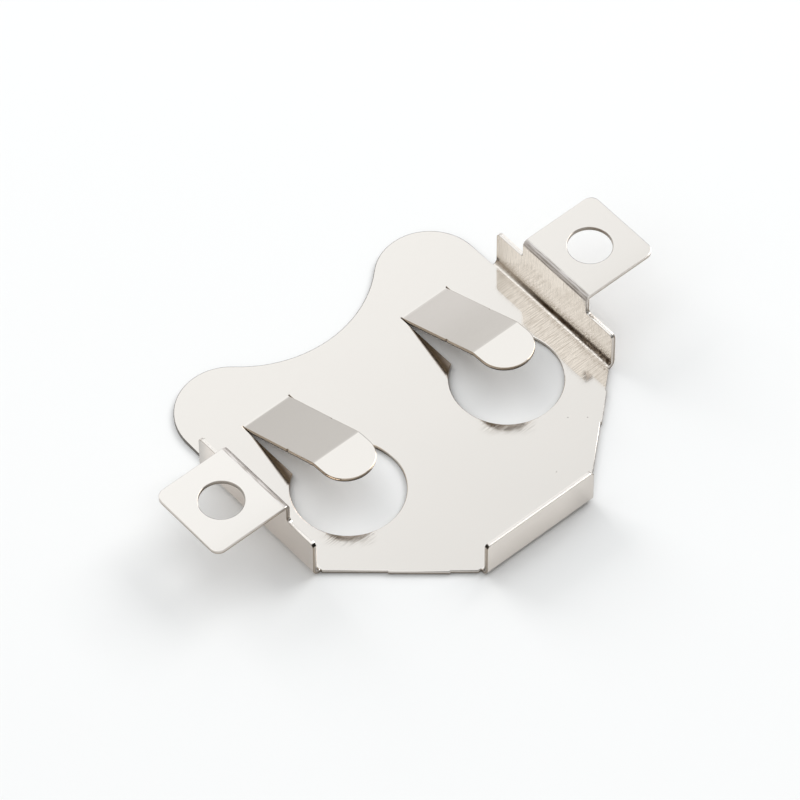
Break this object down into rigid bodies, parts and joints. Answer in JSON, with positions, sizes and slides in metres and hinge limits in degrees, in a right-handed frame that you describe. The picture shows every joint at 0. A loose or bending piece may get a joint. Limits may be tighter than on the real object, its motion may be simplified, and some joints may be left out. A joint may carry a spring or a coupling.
{
  "type": "coin cell retainer",
  "caption": "Folded sheet-metal retainer that clips a 20 mm coin cell to a circuit board, with side walls, a stop wall, spring fingers and solder tabs with holes.",
  "frame": {"origin": "on the outer face of the plate, under the centre of the cell; the line through both solder holes passes over it", "axes": "+X from tab to tab, +Y towards the open side where the cell slides in, +Z from the plate towards the solder faces"},
  "size_m": [0.0306, 0.0199, 0.0041],
  "materials": {
    "spring_metal": "bright plated spring metal, nearly mirror smooth, with fine forming marks on the walls"
  },
  "bodies": {
    "root": {"cell_retainer": "spring_metal"}
  },
  "joints": []
}
